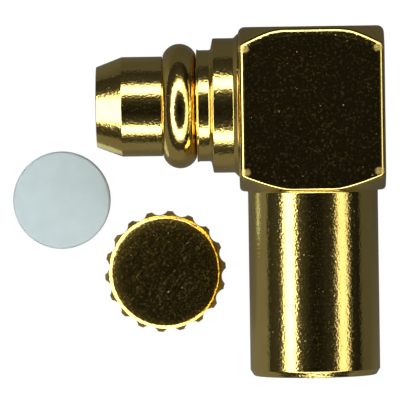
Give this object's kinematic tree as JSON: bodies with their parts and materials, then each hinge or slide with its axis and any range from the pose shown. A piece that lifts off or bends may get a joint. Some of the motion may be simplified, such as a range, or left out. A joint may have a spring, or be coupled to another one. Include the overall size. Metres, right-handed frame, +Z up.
{
  "type": "mmcx connector",
  "caption": "Right-angle miniature push-in coaxial plug of the solder type, with its loose insulator disc and toothed end cap lying beside it.",
  "frame": {"origin": "on the table, under the middle of the whole kit's box", "axes": "+Z up from the block flat it lies on, +X from the mating end towards the rear solder hole, +Y from the cable barrel towards the closed end of the block"},
  "size_m": [0.009, 0.0084, 0.0035],
  "materials": {
    "gold_body": "bright gold plate over turned brass, light tool marks",
    "gold_outer_contact": "bright gold plate over turned brass",
    "gold_ring": "bright gold plate over a copper alloy spring",
    "gold_pin": "bright gold plate over turned brass",
    "ptfe_bush": "white turned PTFE",
    "ptfe_disc": "white punched PTFE, cool white",
    "gold_cap": "gold plate over stamped brass, scratched face"
  },
  "bodies": {
    "connector": {"body": "gold_body", "outer_contact": "gold_outer_contact", "center_contact": "gold_pin", "front_insulator": "ptfe_bush", "insulator_disc": "ptfe_disc", "end_cap": "gold_cap"},
    "spring": {"snap_ring": "gold_ring"}
  },
  "joints": [
    {"name": "snap_ring_turn", "type": "hinge", "parent": "connector", "child": "spring", "pos_m": [-0.0004, 0.00232, 0.00175], "axis": [1, 0, 0], "continuous": true}
  ]
}
